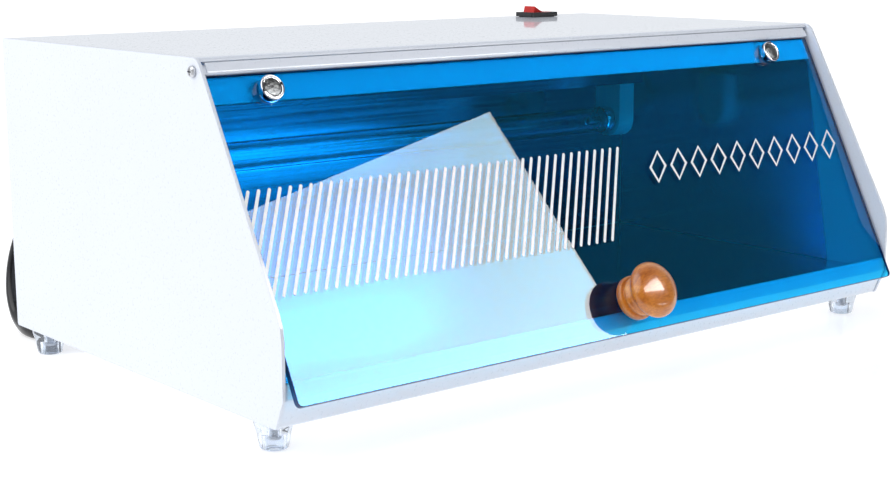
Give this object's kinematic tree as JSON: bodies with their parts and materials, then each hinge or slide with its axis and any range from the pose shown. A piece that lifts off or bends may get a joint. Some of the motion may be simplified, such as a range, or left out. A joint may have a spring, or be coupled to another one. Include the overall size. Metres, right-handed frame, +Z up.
{
  "type": "uv sterilizer cabinet",
  "caption": "Table-top UV cabinet for salon tools: white steel case with a slanted blue acrylic door that swings up, a turned knob, a germicidal tube inside and a rocker switch on top.",
  "frame": {"origin": "on the floor plane under the middle of the cabinet's bounding box, feet included, free cord left out", "axes": "+X to the right as seen from the door, +Y from the door to the back, +Z up"},
  "size_m": [0.4038, 0.3629, 0.1662],
  "materials": {
    "white_paint": "smooth white powder coat",
    "polished_aluminium": "bright polished sheet",
    "blue_acrylic": "clear blue tint, polished",
    "chrome": "polished",
    "plated_steel": "zinc plated",
    "turned_wood": "lacquered",
    "clear_rubber": "translucent, smooth",
    "cream_plastic": "moulded",
    "black_plastic": "moulded",
    "red_plastic": "moulded, glossy",
    "quartz_glass": "clear tube",
    "brass": "plain",
    "black_pvc": "glossy sheath"
  },
  "bodies": {
    "cabinet": {"side_panel_left": "white_paint", "side_panel_right": "white_paint", "top_cover": "white_paint", "back_panel": "white_paint", "base_pan": "white_paint", "chamber_floor": "polished_aluminium", "liner_back": "polished_aluminium", "liner_left": "polished_aluminium", "liner_right": "polished_aluminium", "lamp_batten": "polished_aluminium", "pivot_spacer_left": "plated_steel", "pivot_spacer_right": "plated_steel", "pivot_screw_left": "plated_steel", "pivot_screw_right": "plated_steel", "lampholder_left": "cream_plastic", "lampholder_right": "cream_plastic", "ballast": "plated_steel", "starter": "cream_plastic", "starter_socket": "cream_plastic", "terminal_block": "cream_plastic", "switch_body": "black_plastic", "switch_terminal_1": "brass", "switch_terminal_2": "brass", "supply_lead": "black_pvc", "lamp_lead": "black_pvc", "cord_gland": "black_plastic", "mains_cord": "black_pvc", "cord_coil": "black_pvc", "cord_tie": "black_plastic", "plug_body": "black_plastic", "plug_pin_1": "brass", "plug_pin_2": "brass", "foot_front_left": "clear_rubber", "foot_screw_front_left": "plated_steel", "foot_front_right": "clear_rubber", "foot_screw_front_right": "plated_steel", "foot_back_left": "clear_rubber", "foot_screw_back_left": "plated_steel", "foot_back_right": "clear_rubber", "foot_screw_back_right": "plated_steel", "back_screw_upper_left": "plated_steel", "back_screw_upper_right": "plated_steel", "back_screw_lower_left": "plated_steel", "back_screw_lower_right": "plated_steel"},
    "door": {"door_panel": "blue_acrylic", "hinge_strip": "white_paint", "door_cap_left": "chrome", "door_cap_right": "chrome", "door_nut_left": "plated_steel", "door_nut_right": "plated_steel", "knob": "turned_wood", "knob_washer": "plated_steel", "knob_screw": "plated_steel"},
    "rocker": {"switch_rocker": "red_plastic"},
    "lamp": {"uv_tube": "quartz_glass", "lamp_cap_left": "plated_steel", "lamp_cap_right": "plated_steel"}
  },
  "joints": [
    {"name": "door_hinge", "type": "hinge", "parent": "cabinet", "child": "door", "pos_m": [0, -0.05173, 0.15371], "axis": [-1, 0, 0], "range_deg": [0, 85]},
    {"name": "switch_rock", "type": "hinge", "parent": "cabinet", "child": "rocker", "pos_m": [0.145, 0.11352, 0.1599], "axis": [0, -1, 0], "range_deg": [0, 28]},
    {"name": "lamp_twist", "type": "hinge", "parent": "cabinet", "child": "lamp", "pos_m": [0, 0.05152, 0.1], "axis": [1, 0, 0], "range_deg": [0, 90]}
  ]
}
